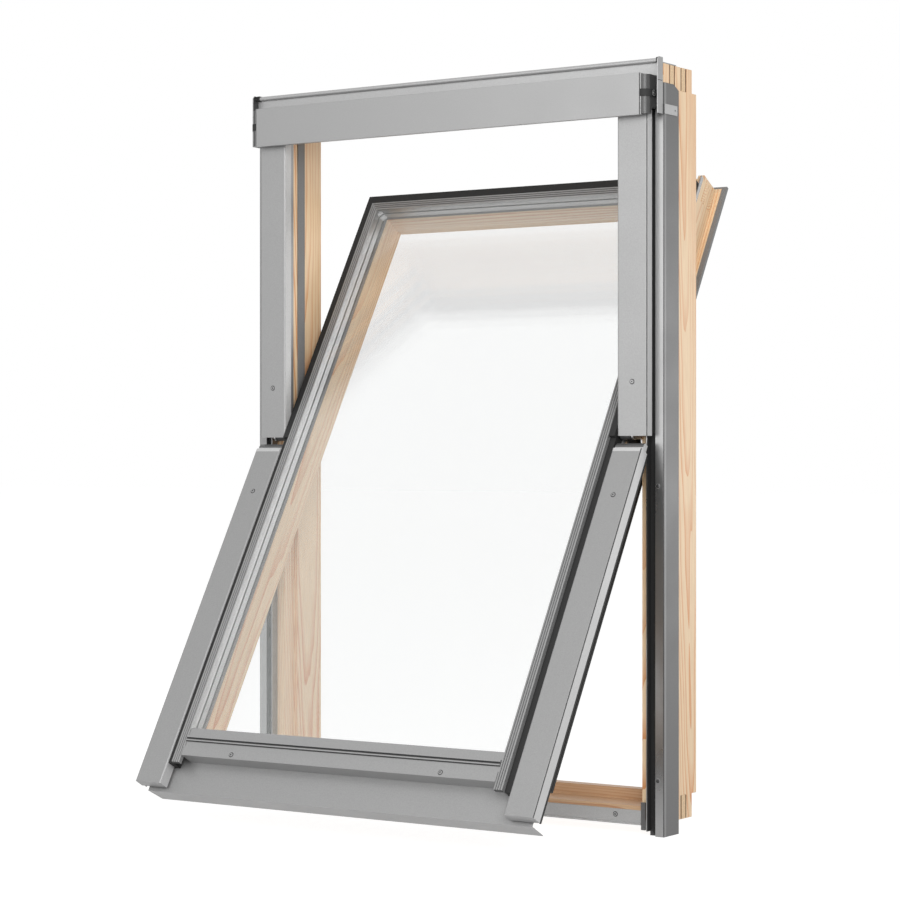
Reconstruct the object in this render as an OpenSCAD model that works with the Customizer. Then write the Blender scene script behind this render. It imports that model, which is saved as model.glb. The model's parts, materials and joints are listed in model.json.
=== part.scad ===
// Centre-pivot timber roof window with aluminium covers, sash swung open.
// X runs along the width, Y into the room, Z up. The origin is the middle of the sill's underside.
// Sash pieces are drawn closed, as (x, depth behind the cover face, height above the pivot axis).

/* [Frame] */
// Width of the timber frame over both jambs
frame_w = 771.4; // [740:0.2:820]
// Height of the timber frame over head and sill
frame_h = 1145; // [1130:1:1200]
// Depth of the jambs, front to room side
jamb_depth = 102; // [98:0.5:110]
// Width of the jambs at the room side
jamb_w = 49.2; // [46:0.2:54]
// Extra width of the stop lip above the pivots
stop_lip = 4; // [2:0.5:6]
// Width rebated from the jambs below the pivots
lower_rebate = 6.6; // [5:0.2:9]
// Gap between the stop lip and the sash's closed flange
stop_gap = 0.8; // [0.5:0.1:2]
// Distance from the cladding front to the lower rebate
rebate_depth = 38; // [34:0.5:43]
// Distance from the cladding front to the back of head and sill
rail_back = 89.5; // [86:0.5:94]
// Height of the head's front lip
head_lip_h = 63; // [60:0.5:70]
// Height of the head behind the lip
head_back_h = 53; // [48:0.5:57]
// Height of the sill's ledge
sill_ledge_h = 22; // [18:0.5:26]
// Height of the sill's upstand
sill_stop_h = 39; // [34:0.5:44]
// Thickness of the sill's upstand
sill_stop_t = 20.5; // [16:0.5:22]
// Fingers in each corner comb joint
comb_count = 5; // [3:2:7]
// Height of the frame's comb joints
comb_h = 36; // [28:1:44]
// Slit left beside each comb finger
comb_slit = 2.8; // [0.5:0.1:3.5]
// Slit left beside each finger of the sash's comb joints
sash_slit = 1.2; // [0.4:0.1:2]

/* [Frame cladding] */
// Thickness of the sheet metal
sheet_t = 1.5; // [1:0.1:2]
// Distance from the cladding front to the origin
front_offset = 45; // [40:1:50]
// Depth of the side channels
channel_depth = 11; // [9:0.5:13]
// Width of the channels' front strip
strip_w = 14.9; // [12:0.1:16]
// Width of the channels' open trough
trough_w = 14.3; // [13.6:0.1:15]
// Height of the channels' inner wall before the cladding front
wall_lift = 3; // [1:0.2:4]
// Depth to which the channels wrap round onto the sides
side_return = 7; // [5:0.5:10]
// Depth of the side skirts
skirt_depth = 46; // [40:1:60]
// Length of the side cladding below the sill
skirt_drop = 21; // [15:1:30]
// Distance from the top of the frame to the top of the skirts
skirt_top_gap = 29; // [25:1:45]
// Height of the sill cladding
sill_clad_h = 22.5; // [18:0.5:26]
// Length of the sill cladding below the sill
sill_clad_drop = 7; // [3:0.5:9]
// Height of the hood's front plate
hood_h = 63; // [55:1:70]
// Distance from the top of the frame to the bottom of the hood
hood_drop = 80; // [75:1:86]
// Distance of the hood's front plate before the cladding front
hood_lift = 36.6; // [34:0.2:40]
// Half of the width left out of the hood's front plate at both ends
hood_inset = 22; // [18:0.2:26]
// Distance of the head cladding before the cladding front
head_clad_lift = 4.7; // [4.6:0.1:6]
// Radius of the head cladding's rolled top lip
lip_r = 3.6; // [2.5:0.1:5]
// Depth of the head cladding's end plates before its front
end_plate_d = 14; // [10:0.5:16]
// Depth of the head cladding's top flange behind the cladding front
head_flange = 40; // [30:1:60]
// Width of the hood's end caps
cap_w = 12.5; // [10:0.5:15]
// Height of the straps round the hood's end caps
strap_h = 11; // [8:0.5:14]

/* [Covers] */
// Distance of the cover faces before the cladding front
cover_lift = 20; // [18:0.2:23]
// Width of the upper covers
upper_cover_w = 51.9; // [48:0.1:54]
// Depth of the upper covers' outer flange
upper_outer_flange = 15; // [12:0.5:18]
// Depth of the upper covers' inner flange
upper_inner_flange = 16; // [12:0.5:16.2]
// Width of the lower covers
lower_cover_w = 50.6; // [47:0.1:52]
// Depth of the lower covers' flanges
lower_flange = 19; // [16:0.5:19.5]
// Length of the lower covers past the bottom bead
cover_past = 47; // [40:1:52]
// Distance from the pivot axis down to the lower covers
cover_start = 29; // [27:0.5:34]
// Distance from the pivot axis down to the covers' end pieces
end_start = 17; // [16:0.5:19]
// Length of the upper covers below the pivot axis
cover_overhang = 1.8; // [0.5:0.1:7]
// Radius of the covers' rounded edges
cover_r = 2.6; // [2:0.1:4]
// Distance of the upper cover screws above the pivot axis
upper_screw_at = 80; // [50:1:120]
// Distance of the lower cover screws below the pivot axis
lower_screw_at = 110; // [70:1:150]

/* [Sash] */
// Angle at which the sash stands open
open_angle = 30.3; // [0:0.1:60]
// Height of the pivot axis above the sill's underside
axis_h = 585.5; // [575:0.5:596]
// Depth of the pivot axis behind the cover faces
axis_depth = 10; // [9.8:0.1:10.6]
// Depth at which the sash timber ends on the room side
sash_back = 82; // [78:0.5:86]
// Width of the stiles
stile_w = 23.6; // [21:0.2:25]
// Width of the rear flange beside the stiles
flange_w = 16; // [13:0.5:18]
// Width of the flange's rubber lip
rubber_w = 8.6; // [6:0.2:10]
// Depth of the rear flange
flange_t = 8; // [6:0.5:9]
// Side clearance of the flange in the jambs
side_gap = 1.9; // [1:0.1:3]
// Clearance of the sash under the head
head_gap = 3; // [2:0.5:6]
// Clearance of the sash over the sill
sill_gap = 11; // [9:0.5:14]
// Height of the top rail
top_rail_h = 42.5; // [38:0.5:46]
// Height of the bottom rail
bottom_rail_h = 43; // [40:0.5:46]
// Height of the bottom rail behind the glass
bottom_rail_front = 29; // [24:0.5:34]

/* [Glazing] */
// Depth of the glass face behind the cover faces, negative in front of them
glass_at = -2; // [-3:0.1:0]
// Thickness of the outer and inner panes
pane_t = 4; // [3:0.5:5]
// Thickness of the middle pane
middle_pane_t = 3; // [2:0.5:4]
// Depth of each spacer bar
spacer_d = 10; // [8:0.5:11]
// Width of the spacer bars
spacer_w = 6.5; // [5:0.5:8]
// Thickness of the seal behind the glass
inner_seal_t = 6; // [4:0.5:8]
// Width of the ribbed glazing beads
bead_w = 15.6; // [13:0.2:17]
// Height of the beads above the glass
bead_h = 3; // [2:0.2:4]
// Ribs on each bead
rib_count = 4; // [3:1:5]
// Width of the black band outside the beads
band_w = 10; // [8:0.2:12]
// Height of the bottom bead
bottom_bead_h = 47; // [42:0.5:52]
// Distance of the bottom bead's upper edge above the lower edge of the rail
bottom_bead_at = 16.5; // [12:0.5:20]

/* [Apron] */
// Depth of the apron behind the cover faces
apron_at = 22.3; // [21:0.1:23]
// Length of the apron below the bottom bead
apron_drop = 53; // [45:1:60]
// Half of the width of the apron
apron_x = 355; // [330:0.5:356]
// Depth of the apron's lower lip
apron_lip = 36; // [28:1:42]

/* [Hinge and handle] */
// Radius of the pivot pins
pin_r = 4; // [3:0.1:5]
// Running clearance of pins and spindle
run_gap = 0.05; // [0.02:0.01:0.1]
// Thickness of the hinge plates
plate_t = 3; // [2.5:0.1:3.5]
// Radius of the handle's spindle
spindle_r = 4; // [3:0.1:5]
// Height of the handle above the lower edge of the sash
handle_up = 25.5; // [24:0.5:28]
// Length of the handle's lever
lever_len = 118; // [90:1:140]
// Length of the handle's nose, which turns down behind the sill
nose_len = 32; // [28:0.5:34]
// Gap of the nose behind the catch plate
nose_gap = 1; // [0.6:0.1:2]
// Thickness of the nose
nose_t = 6; // [4:0.5:8]
// Thickness of the lever
lever_t = 12; // [8:0.5:14]

/* [Hidden] */
$fn = 48;
eps = 0.01;
big = 2000;

// frame planes
x_out = frame_w / 2;
x_clad = x_out + sheet_t;
x_in = x_out - jamb_w;
x_lip = x_in - stop_lip;
x_reb = x_in + lower_rebate;
x_strip = x_clad - strip_w;
x_tongue = x_strip + sheet_t;
x_trough = x_strip - trough_w;
yf = -front_offset;
y_wood = yf + sheet_t;
y_floor = yf + channel_depth;
y_back = y_wood + jamb_depth;
y_rail = yf + rail_back;
y_rebate = yf + rebate_depth;
y_sill = y_floor - 2;
y_sill_stop = y_rail - sill_stop_t;
y_cover = yf - cover_lift;
y_stop = y_cover + sash_back - flange_t - stop_gap;
axis_y = y_cover + axis_depth;
split_z = axis_h + 20;
z_skirt = frame_h - skirt_top_gap;
z_hood = frame_h - hood_drop;
z_head_lip = frame_h - head_lip_h;
z_head_back = frame_h - head_back_h;
z_cover_top = z_hood + 10;
comb_p = (y_rail - y_wood) / comb_count;

// sash planes
flange_x = x_in - side_gap;
stile_x = flange_x - flange_w;
lip_x = flange_x - rubber_w;
sash_in = stile_x - stile_w;
front_x = stile_x - 2;
bead_x = front_x - band_w;
bead_in = bead_x - bead_w;
igu_x = bead_x - 2.2;
s_top = z_head_lip - head_gap - axis_h;
s_lip = s_top + 6;
s_flange = z_head_back - head_gap - axis_h;
s_bot = sill_ledge_h + sill_gap - axis_h;
s_top_in = s_top - top_rail_h;
s_bot_in = s_bot + bottom_rail_h;
s_bot_front = s_bot + bottom_rail_front;
igu_t = 2 * pane_t + middle_pane_t + 2 * spacer_d;
glass_back = glass_at + igu_t;
rebate_v = glass_back + inner_seal_t;
tongue_v = rebate_v - 8;
bead_front = glass_at - bead_h;
bead_top_in = s_top_in - 7;
bead_top = bead_top_in + bead_w;
igu_top = bead_top_in + 13;
bottom_bead_top = s_bot + bottom_bead_at;
bottom_bead_bot = bottom_bead_top - bottom_bead_h;
igu_bot = bottom_bead_top - 10;
bead_end = bottom_bead_bot - 12;
apron_t = 1.2;
apron_bot = bottom_bead_bot - apron_drop;
sash_comb_p = (sash_back - tongue_v) / comb_count;
upper_x = front_x + 0.9;
lower_x = front_x + 0.4;
lower_end = cover_past - bottom_bead_bot;
lower_cover_len = lower_end - cover_start;
bead_screw_x = bead_in - 97;
bead_screw_s = bottom_bead_bot + 7;

// handle and catch
catch_t = 1.2;
handle_s = s_bot + handle_up;
nose_v = y_rail + catch_t + nose_gap - y_cover;
rose_t = 6;
boss_t = 9;
neck_r = 7;

timber = [0.91, 0.79, 0.64];
metal = [0.68, 0.68, 0.68];
dark_metal = [0.45, 0.45, 0.45];
plastic = [0.22, 0.22, 0.22];
rubber = [0.1, 0.1, 0.1];
grey_rubber = [0.5, 0.5, 0.5];
bright = [0.82, 0.82, 0.84];
glass = [0.85, 0.9, 0.9, 0.4];

// Children drawn for the right side, mirrored to the left
module left() {
    mirror([1, 0, 0]) children();
}

// Both sides at once
module both() {
    children();
    left() children();
}

// Sash coordinates turned about the pivot axis to the open position
module on_sash() {
    translate([0, axis_y, axis_h])
        rotate([-open_angle, 0, 0])
            translate([0, -axis_depth, 0]) children();
}

// A profile in (y, z) drawn out along X on both sides of the middle
module along_x(half) {
    rotate([90, 0, 90])
        linear_extrude(2 * half, center = true) children();
}

// An outline in (x, z) given a thickness from depth v to v + t
module plate(v, t) {
    translate([0, v + t, 0])
        rotate([90, 0, 0])
            linear_extrude(t) children();
}

// A box between two corners
module block(a, b) {
    translate(a) cube(b - a);
}

// A rod along X from x0 to x1
module rod_x(x0, x1, r) {
    translate([x0, 0, 0])
        rotate([0, 90, 0]) cylinder(h = x1 - x0, r = r);
}

// A rod along the depth from v0 to v1
module rod_v(v0, v1, r) {
    translate([0, v0, 0])
        rotate([-90, 0, 0]) cylinder(h = v1 - v0, r = r);
}

// A rectangle from depth 0 with two rounded front corners
module round_front(w, d, r) {
    translate([r, 0]) square([w - 2 * r, d]);
    translate([0, r]) square([w, d - r]);
    for (x = [r, w - r]) translate([x, r]) circle(r);
}

// A folded cover section with flanges of depth d0 and d1
module cover_section(w, d0, d1) {
    difference() {
        round_front(w, max(d0, d1), cover_r);
        translate([sheet_t, sheet_t])
            round_front(w - 2 * sheet_t, max(d0, d1), cover_r - sheet_t / 2);
        translate([-1, d0]) square([sheet_t + 2, big]);
        translate([w - sheet_t - 1, d1]) square([sheet_t + 2, big]);
    }
}

// A screw head with its shank, pointing along the depth from its seat
module screw(head_r, shank_r, len) {
    rotate([90, 0, 0]) {
        cylinder(h = 0.8, r = head_r);
        translate([0, 0, 0.8]) cylinder(h = 0.8, r1 = head_r, r2 = head_r * 0.7);
        translate([0, 0, -len]) cylinder(h = len, r = shank_r);
    }
}

// FRAME TIMBER

module comb_bands() {
    for (i = [1 : 2 : comb_count - 2])
        translate([0, y_wood + comb_p * i, 0]) children();
}

module jamb() {
    lower = [[x_out, y_wood], [x_out, y_back], [x_in, y_back], [x_in, y_rebate],
        [x_reb, y_rebate], [x_reb, y_floor], [x_tongue, y_floor], [x_tongue, y_wood]];
    upper = [[x_out, y_wood], [x_out, y_back], [x_in, y_back], [x_in, y_stop],
        [x_lip, y_stop], [x_lip, y_floor], [x_tongue, y_floor], [x_tongue, y_wood]];
    color(timber) difference() {
        union() {
            linear_extrude(split_z) polygon(lower);
            translate([0, 0, split_z])
                linear_extrude(frame_h - split_z) polygon(upper);
        }
        for (z = [-1, frame_h - comb_h])
            block([0, y_rail, z], [big, big, z + comb_h + 1]);
        comb_bands() {
            block([0, 0, -1], [big, comb_p, comb_h]);
            block([0, 0, frame_h - comb_h], [big, comb_p, frame_h + 1]);
        }
        jamb_seal_groove();
    }
}

// jamb seals
seal_w = 18;
seal_y0 = y_stop - 2.5 - seal_w;

module jamb_seal_groove() {
    block([x_lip - 1, seal_y0, split_z + 4], [x_lip + 2, seal_y0 + seal_w, z_head_lip]);
}

module head_rail() {
    color(timber) {
        block([-x_trough + 1, y_wood, z_head_lip], [x_trough - 1, y_floor, frame_h]);
        block([-x_lip, y_floor, z_head_lip], [x_lip, y_stop, frame_h]);
        block([-x_in, y_stop, z_head_back], [x_in, y_rail, frame_h]);
        both() comb_bands()
            block([x_lip - 1, comb_slit, frame_h - comb_h], [x_out, comb_p - comb_slit, frame_h]);
    }
}

module sill_rail() {
    color(timber) {
        block([-x_reb, y_sill, 0], [x_reb, y_rebate, sill_ledge_h]);
        block([-x_in, y_rebate, 0], [x_in, y_rail, sill_ledge_h]);
        block([-x_in, y_sill_stop, 0], [x_in, y_rail, sill_stop_h]);
        both() comb_bands() {
            block([x_in - 1, comb_slit, 0], [x_out, comb_p - comb_slit, sill_ledge_h]);
            block([x_reb, comb_slit, 0], [x_out, comb_p - comb_slit, comb_h]);
        }
    }
}

// FRAME CLADDING

module channel() {
    cut = 7;
    section = [[x_trough, y_floor], [x_tongue, y_floor], [x_tongue, y_wood], [x_out, y_wood], [x_out, yf],
        [x_strip, yf], [x_strip, y_floor - sheet_t], [x_trough + sheet_t, y_floor - sheet_t],
        [x_trough + sheet_t, yf - wall_lift], [x_trough, yf - wall_lift]];
    color(metal) difference() {
        translate([0, 0, -skirt_drop])
            linear_extrude(z_skirt + skirt_drop) {
                polygon(section);
                translate([x_out, y_wood]) {
                    square([sheet_t, side_return - sheet_t]);
                    intersection() {
                        circle(sheet_t);
                        translate([0, -sheet_t]) square(sheet_t);
                    }
                }
            }
        trough_end(cut);
    }
}

// Slanted cut before the floor at the lower end of the channels' trough
module trough_end(cut) {
    reach = 20;
    plate(yf - reach, reach + channel_depth - sheet_t)
        polygon([[x_trough - 1, -skirt_drop - 1], [x_strip - 1, -skirt_drop - 1],
            [x_trough + 4, cut - skirt_drop], [x_trough - 1, cut - skirt_drop]]);
}

module skirt() {
    y_end = yf + skirt_depth;
    outline = [[yf + side_return, -skirt_drop], [y_end, -skirt_drop], [y_end, z_skirt - 8],
        [y_end - 16, z_skirt], [yf + side_return, z_skirt]];
    color(dark_metal) translate([x_out, 0, 0])
        rotate([90, 0, 90]) linear_extrude(sheet_t) polygon(outline);
}

module channel_seal() {
    x0 = x_trough + sheet_t;
    y1 = y_floor - sheet_t;
    base_t = 3;
    lip_t = 1.6;
    color(rubber) difference() {
        translate([0, 0, 3 - skirt_drop])
            linear_extrude(axis_h + skirt_drop - 1) {
                translate([x0, y1 - base_t]) square([x_strip - x0, base_t]);
                translate([x0, yf - wall_lift + 0.4]) square([lip_t, y1 - yf + wall_lift - 0.4]);
            }
        trough_end(9);
    }
}

module jamb_seal() {
    color(grey_rubber)
        block([x_lip - 1.6, seal_y0, split_z + 4], [x_lip + 2, seal_y0 + seal_w, z_head_lip]);
}

module channel_feet() {
    color(dark_metal) both()
        block([x_reb + 0.6, y_floor - 5, -skirt_drop + 7], [x_reb + 8, y_floor, sill_ledge_h + 6]);
}

module head_cladding() {
    y0 = yf - head_clad_lift;
    z1 = frame_h + sheet_t + 3;
    plate_top = z1 + lip_r;
    corner = 4;
    outline = [[y0 + sheet_t, z_hood + 3], [y0 + sheet_t, plate_top], [y0 - end_plate_d + corner, plate_top],
        [y0 - end_plate_d, plate_top - corner], [y0 - end_plate_d, z_hood + 3]];
    color(metal) {
        block([-x_out, y0, z_cover_top + 4], [x_out, y0 + sheet_t, z1]);
        block([-x_out, y0, frame_h], [x_out, yf + head_flange, frame_h + sheet_t]);
        translate([0, y0 - lip_r / 2, z1 - lip_r / 2 + 1]) rod_x(-x_out, x_out, lip_r);
        both() translate([x_out, 0, 0])
            rotate([90, 0, 90]) linear_extrude(sheet_t) polygon(outline);
    }
}

hood_x = x_clad - hood_inset;
hood_y = yf - hood_lift;
hood_top = z_hood + hood_h;

module hood_front() {
    depth = hood_lift - head_clad_lift;
    color(metal) translate([0, hood_y, z_hood]) {
        block([-hood_x, 0, 0], [hood_x, sheet_t, hood_h]);
        block([-hood_x, 0, 0], [hood_x, 9, sheet_t]);
        block([-hood_x, 0, hood_h - sheet_t], [hood_x, depth, hood_h]);
    }
}

// Plan of an end cap, grown by g
module cap_plan(g) {
    depth = hood_lift - head_clad_lift - sheet_t;
    round_r = 10;
    square([cap_w - round_r, depth]);
    translate([0, round_r]) square([cap_w + g, depth - round_r]);
    translate([cap_w - round_r, round_r]) circle(round_r + g);
}

module hood_cap() {
    strap_z = hood_h - 37;
    color(plastic) difference() {
        translate([hood_x, hood_y + sheet_t, z_hood + sheet_t]) intersection() {
            union() {
                linear_extrude(hood_h - 2.5 * sheet_t) cap_plan(0);
                translate([0, 0, strap_z]) linear_extrude(strap_h) cap_plan(sheet_t);
            }
            block([0, -sheet_t, 0], [big, big, big]);
        }
        block([0, y_cover - 1, z_hood], [big, yf, z_cover_top + 1]);
    }
}

module corner_tab() {
    z0 = z_hood + 3.6;
    tab_h = 15;
    color(metal) difference() {
        block([x_clad, yf, z0], [x_clad + sheet_t, yf + skirt_depth - 7, z0 + tab_h]);
        translate([0, yf + skirt_depth - 14, z0 + tab_h / 2]) rod_x(0, big, 1.5);
    }
}

module sill_cladding() {
    hem = 3;
    color(metal) difference() {
        union() {
            block([-x_reb, y_sill - sheet_t, -sill_clad_drop],
                [x_reb, y_sill, sill_clad_h - sill_clad_drop]);
            block([-x_reb, y_sill - 2 * sheet_t, -sill_clad_drop],
                [x_reb, y_sill, hem - sill_clad_drop]);
        }
        both() translate([sill_screw_x, y_sill - sheet_t, sill_screw_z]) rod_v(-1, sheet_t + 1, 1.7);
    }
}

module upper_cover() {
    z0 = axis_h - cover_overhang;
    color(metal) difference() {
        translate([upper_x, y_cover, z0])
            linear_extrude(z_cover_top - z0)
                cover_section(upper_cover_w, upper_inner_flange, upper_outer_flange);
        cover_holes();
    }
}

clip_hole_r = 2.2;
upper_screw_z = axis_h + upper_screw_at;

module cover_holes() {
    translate([clip_x, y_cover - 1, upper_screw_z]) rod_v(0, 20, clip_hole_r);
}

clip_x = upper_x + upper_cover_w / 2;
sill_screw_x = x_reb - 45;
sill_screw_z = 6.8;

module upper_cover_clips() {
    half = 6.5;
    color(plastic) both() difference() {
        for (z = [upper_screw_z, z_hood - 40])
            block([clip_x - half, y_cover + sheet_t, z - 15], [clip_x + half, y_floor, z + 15]);
        translate([clip_x, y_cover, upper_screw_z]) rod_v(0, 16, clip_hole_r);
    }
}

module frame_screws() {
    color(bright) both() {
        translate([clip_x, y_cover, upper_screw_z]) screw(4, 2, 14);
        translate([sill_screw_x, y_sill - sheet_t, sill_screw_z]) screw(3.5, 1.5, 1.2);
    }
}

// Metal angles on the front edge of the stop lips
module lip_trims() {
    t = 1.2;
    leg = 9.5;
    color(metal) both() {
        block([x_lip - t, y_floor - t, split_z + 4], [x_lip, y_floor + leg, z_head_lip - 1]);
        block([x_lip - t, y_floor - t, split_z + 4], [x_lip + 4, y_floor, z_head_lip - 1]);
    }
}

// HINGE

module frame_hinge() {
    reach = x_reb - plate_t;
    color(bright) {
        block([reach, y_floor + 1, axis_h - 45], [x_reb, y_rebate - 1, axis_h + 18]);
        block([reach, axis_y, axis_h - 7], [x_reb, y_floor + 2, axis_h + 7]);
        translate([0, axis_y, axis_h]) {
            rod_x(reach, x_reb, 8);
            rod_x(stile_x + 3.4, reach + 1, pin_r);
        }
    }
}

module sash_hinge() {
    arm_x = stile_x + 1.7;
    color(plastic) on_sash() difference() {
        union() {
            block([stile_x, tongue_v + 8, -40], [arm_x + plate_t, sash_back - flange_t - 4, 40]);
            block([arm_x, axis_depth, -2.8], [arm_x + plate_t, tongue_v + 10, 9]);
            translate([0, axis_depth, 0]) rod_x(arm_x, x_reb - plate_t - 2.6, 7.5);
        }
        translate([0, axis_depth, 0]) rod_x(0, big, pin_r + run_gap);
    }
}

// SASH TIMBER

module sash_comb_bands() {
    for (i = [1 : 2 : comb_count - 2])
        translate([0, tongue_v + sash_comb_p * i, 0]) children();
}

module stile() {
    section = [[sash_in, rebate_v], [sash_in, sash_back], [stile_x, sash_back], [stile_x, tongue_v],
        [bead_x + 0.4, tongue_v], [bead_x + 0.4, rebate_v]];
    color(timber) on_sash() difference() {
        union() {
            translate([0, 0, s_bot])
                linear_extrude(s_top - s_bot) polygon(section);
            block([sash_in, sash_back - flange_t, s_bot], [lip_x, sash_back, s_lip]);
        }
        sash_comb_bands() {
            block([0, 0, s_bot - 1], [stile_x + eps, sash_comb_p, s_bot_front]);
            block([0, 0, s_top_in], [stile_x + eps, sash_comb_p, s_top + 1]);
        }
    }
}

module sash_top_rail() {
    color(timber) on_sash() {
        block([-sash_in, rebate_v, s_top_in], [sash_in, sash_back, s_top]);
        block([-sash_in, tongue_v, igu_top + 2], [sash_in, rebate_v + 1, s_top]);
        block([-sash_in, sash_back - flange_t, s_top - 1], [sash_in, sash_back, s_lip]);
        both() sash_comb_bands()
            block([sash_in - 1, sash_slit, s_top_in], [stile_x, sash_comb_p - sash_slit, s_top]);
    }
}

module sash_bottom_rail() {
    section = [[rebate_v, s_bot], [sash_back, s_bot], [sash_back, s_bot_in],
        [rebate_v + 23, s_bot_in - 3], [rebate_v, s_bot_front]];
    color(timber) on_sash() difference() {
        union() {
            along_x(sash_in) polygon(section);
            block([-sash_in, apron_at + apron_t, s_bot], [sash_in, rebate_v + 1, igu_bot - 1.5]);
            both() sash_comb_bands()
                block([sash_in - 1, sash_slit, s_bot], [stile_x, sash_comb_p - sash_slit, s_bot_front]);
        }
        translate([0, 0, handle_s]) rod_v(sash_back - 20, sash_back + 1, spindle_r + 2);
    }
}

// GLAZING

module pane(v, t) {
    color(glass) on_sash()
        block([-igu_x, v, igu_bot], [igu_x, v + t, igu_top]);
}

module corner_cut_rect(half, bottom, top, cut) {
    polygon([[-half + cut, bottom], [half - cut, bottom], [half, bottom + cut], [half, top - cut],
        [half - cut, top], [-half + cut, top], [-half, top - cut], [-half, bottom + cut]]);
}

spacer_x = igu_x - 3;
outer_gap_v = glass_at + pane_t;
inner_gap_v = outer_gap_v + spacer_d + middle_pane_t;

module spacer(v) {
    edge = igu_x - spacer_x;
    color(bright) on_sash() plate(v, spacer_d) difference() {
        corner_cut_rect(spacer_x, igu_bot + edge, igu_top - edge, 5);
        corner_cut_rect(spacer_x - spacer_w, igu_bot + edge + spacer_w, igu_top - edge - spacer_w, 7);
    }
}

module edge_seal() {
    edge = igu_x - spacer_x;
    color(rubber) on_sash()
        for (v = [outer_gap_v, inner_gap_v])
            plate(v, spacer_d) difference() {
                corner_cut_rect(igu_x, igu_bot, igu_top, 1);
                corner_cut_rect(spacer_x, igu_bot + edge, igu_top - edge, 5);
            }
}

module inner_glazing_seal() {
    color(grey_rubber) on_sash() plate(glass_back, inner_seal_t) difference() {
        corner_cut_rect(igu_x, igu_bot, igu_top, 1);
        corner_cut_rect(sash_in + 0.5, s_bot_front - 0.5, s_top_in - 0.5, 1);
    }
}

// Bead section as (distance from its inner edge, depth)
rib_p = 2.2;
function bead_section() = concat(
    [[0, glass_at], [0, bead_front]],
    [for (i = [0 : rib_count - 1], k = [0 : 3])
        [rib_p * (i + (k < 2 ? 0.6 : 1)), bead_front + (k % 3 == 0 ? 0 : 1)]],
    [[bead_w, bead_front], [bead_w, glass_at + 5], [bead_w - 1.5, glass_at + 5], [bead_w - 1.5, glass_at]]);

// Half space beyond the mitre line at the bead's upper right corner
module mitre() {
    rotate([90, 0, 0])
        linear_extrude(200, center = true)
            polygon([[bead_in - 50, bead_top_in - 50], [bead_in + 60, bead_top_in + 60],
                [bead_in - 50, bead_top_in + 60]]);
}

module side_bead() {
    color(metal) on_sash() difference() {
        translate([bead_in, 0, bead_end])
            linear_extrude(bead_top - bead_end) polygon(bead_section());
        mitre();
    }
}

module top_bead() {
    color(metal) on_sash() intersection() {
        translate([0, 0, bead_top_in])
            along_x(bead_x) polygon([for (p = bead_section()) [p[1], p[0]]]);
        mitre_span();
    }
}

module mitre_span() {
    rotate([90, 0, 0])
        linear_extrude(200, center = true)
            polygon([[-bead_in, bead_top_in], [bead_in, bead_top_in], [bead_in + 60, bead_top_in + 60],
                [-bead_in - 60, bead_top_in + 60]]);
}

module bottom_bead() {
    top = bottom_bead_top;
    bot = bottom_bead_bot;
    ledge = bot + 15.5;
    skin = 2;
    section = [[glass_at, top], [glass_at - 0.8, top], [glass_at - 1.4, top - 13], [glass_at - 5, top - 14],
        [glass_at - 5, top - 17], [glass_at - 2, top - 18.5], [glass_at - 4, top - 20],
        [glass_at - 4, top - 22], [glass_at - 1, top - 23], [glass_at - 1, ledge],
        [bead_front, ledge], [bead_front, bot], [apron_at, bot], [apron_at, bot + skin],
        [bead_front + skin, bot + skin], [bead_front + skin, ledge - skin],
        [glass_at + 0.6, ledge - skin], [glass_at + 0.6, igu_bot - 0.4], [glass_at, igu_bot - 0.4]];
    color(metal) on_sash() difference() {
        along_x(bead_in - 0.3) polygon(section);
        both() translate([bead_screw_x, 0, bead_screw_s]) rod_v(-big, 6, 1.7);
    }
}

// Black band outside the beads, which lies behind the cover faces below the pivots
module glazing_band() {
    v0 = bead_front + 1;
    v1 = glass_at + 4;
    s0 = igu_bot - 1.5;
    step = -cover_overhang - 8;
    color(rubber) on_sash() {
        both() {
            block([bead_x, v0, step], [front_x, tongue_v, bead_top + band_w + 3]);
            block([bead_x, v1, s0], [front_x, tongue_v, step + 1]);
            block([bead_x, v1, bead_end], [front_x, apron_at - 0.3, s0 + 1]);
        }
        block([-front_x, v0, bead_top], [front_x, tongue_v, bead_top + band_w + 3]);
    }
}

module edge_strip() {
    color(metal) on_sash()
        block([front_x, tongue_v - 7, igu_bot - 1.5], [stile_x, tongue_v, s_top - 6]);
}

module sash_seal() {
    v0 = sash_back - flange_t + 1;
    v1 = sash_back - 2;
    color(rubber) on_sash() {
        both() block([lip_x, v0, s_bot - 7], [flange_x, v1, s_flange]);
        block([-flange_x, v0, s_lip], [flange_x, v1, s_flange]);
    }
}

// SASH METAL

module apron() {
    color(metal) on_sash() {
        block([-apron_x, apron_at, apron_bot], [apron_x, apron_at + apron_t, igu_bot - 2]);
        translate([0, apron_at, apron_bot])
            rotate([3, 0, 0]) linear_extrude(apron_t)
                polygon([[-apron_x, 0], [apron_x, 0], [apron_x - 2, apron_lip], [2 - apron_x, apron_lip]]);
    }
}

lower_screw_s = -lower_screw_at;
lower_screw_x = lower_x + lower_cover_w / 2;

module lower_cover() {
    color(metal) on_sash() difference() {
        union() {
            translate([lower_x, 0, -lower_end])
                linear_extrude(lower_cover_len)
                    cover_section(lower_cover_w, lower_flange, lower_flange);
            translate([lower_x, 0, -lower_end])
                linear_extrude(sheet_t) round_front(lower_cover_w, lower_flange, cover_r);
        }
        translate([lower_screw_x, 0, lower_screw_s]) rod_v(-1, 5, clip_hole_r);
    }
}

module cover_end() {
    x0 = lower_x + 0.5;
    half = lower_cover_w / 2 - 0.5;
    s0 = -cover_start;
    s1 = -end_start;
    back = lower_flange - 3.5;
    section = [[3, s0], [4.5, s0 + 4], [4.5, s0 + 7], [7, s1], [back, s1], [back, s0]];
    color(metal) on_sash() translate([x0 + half, 0, 0])
        along_x(half) polygon(section);
}

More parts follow.
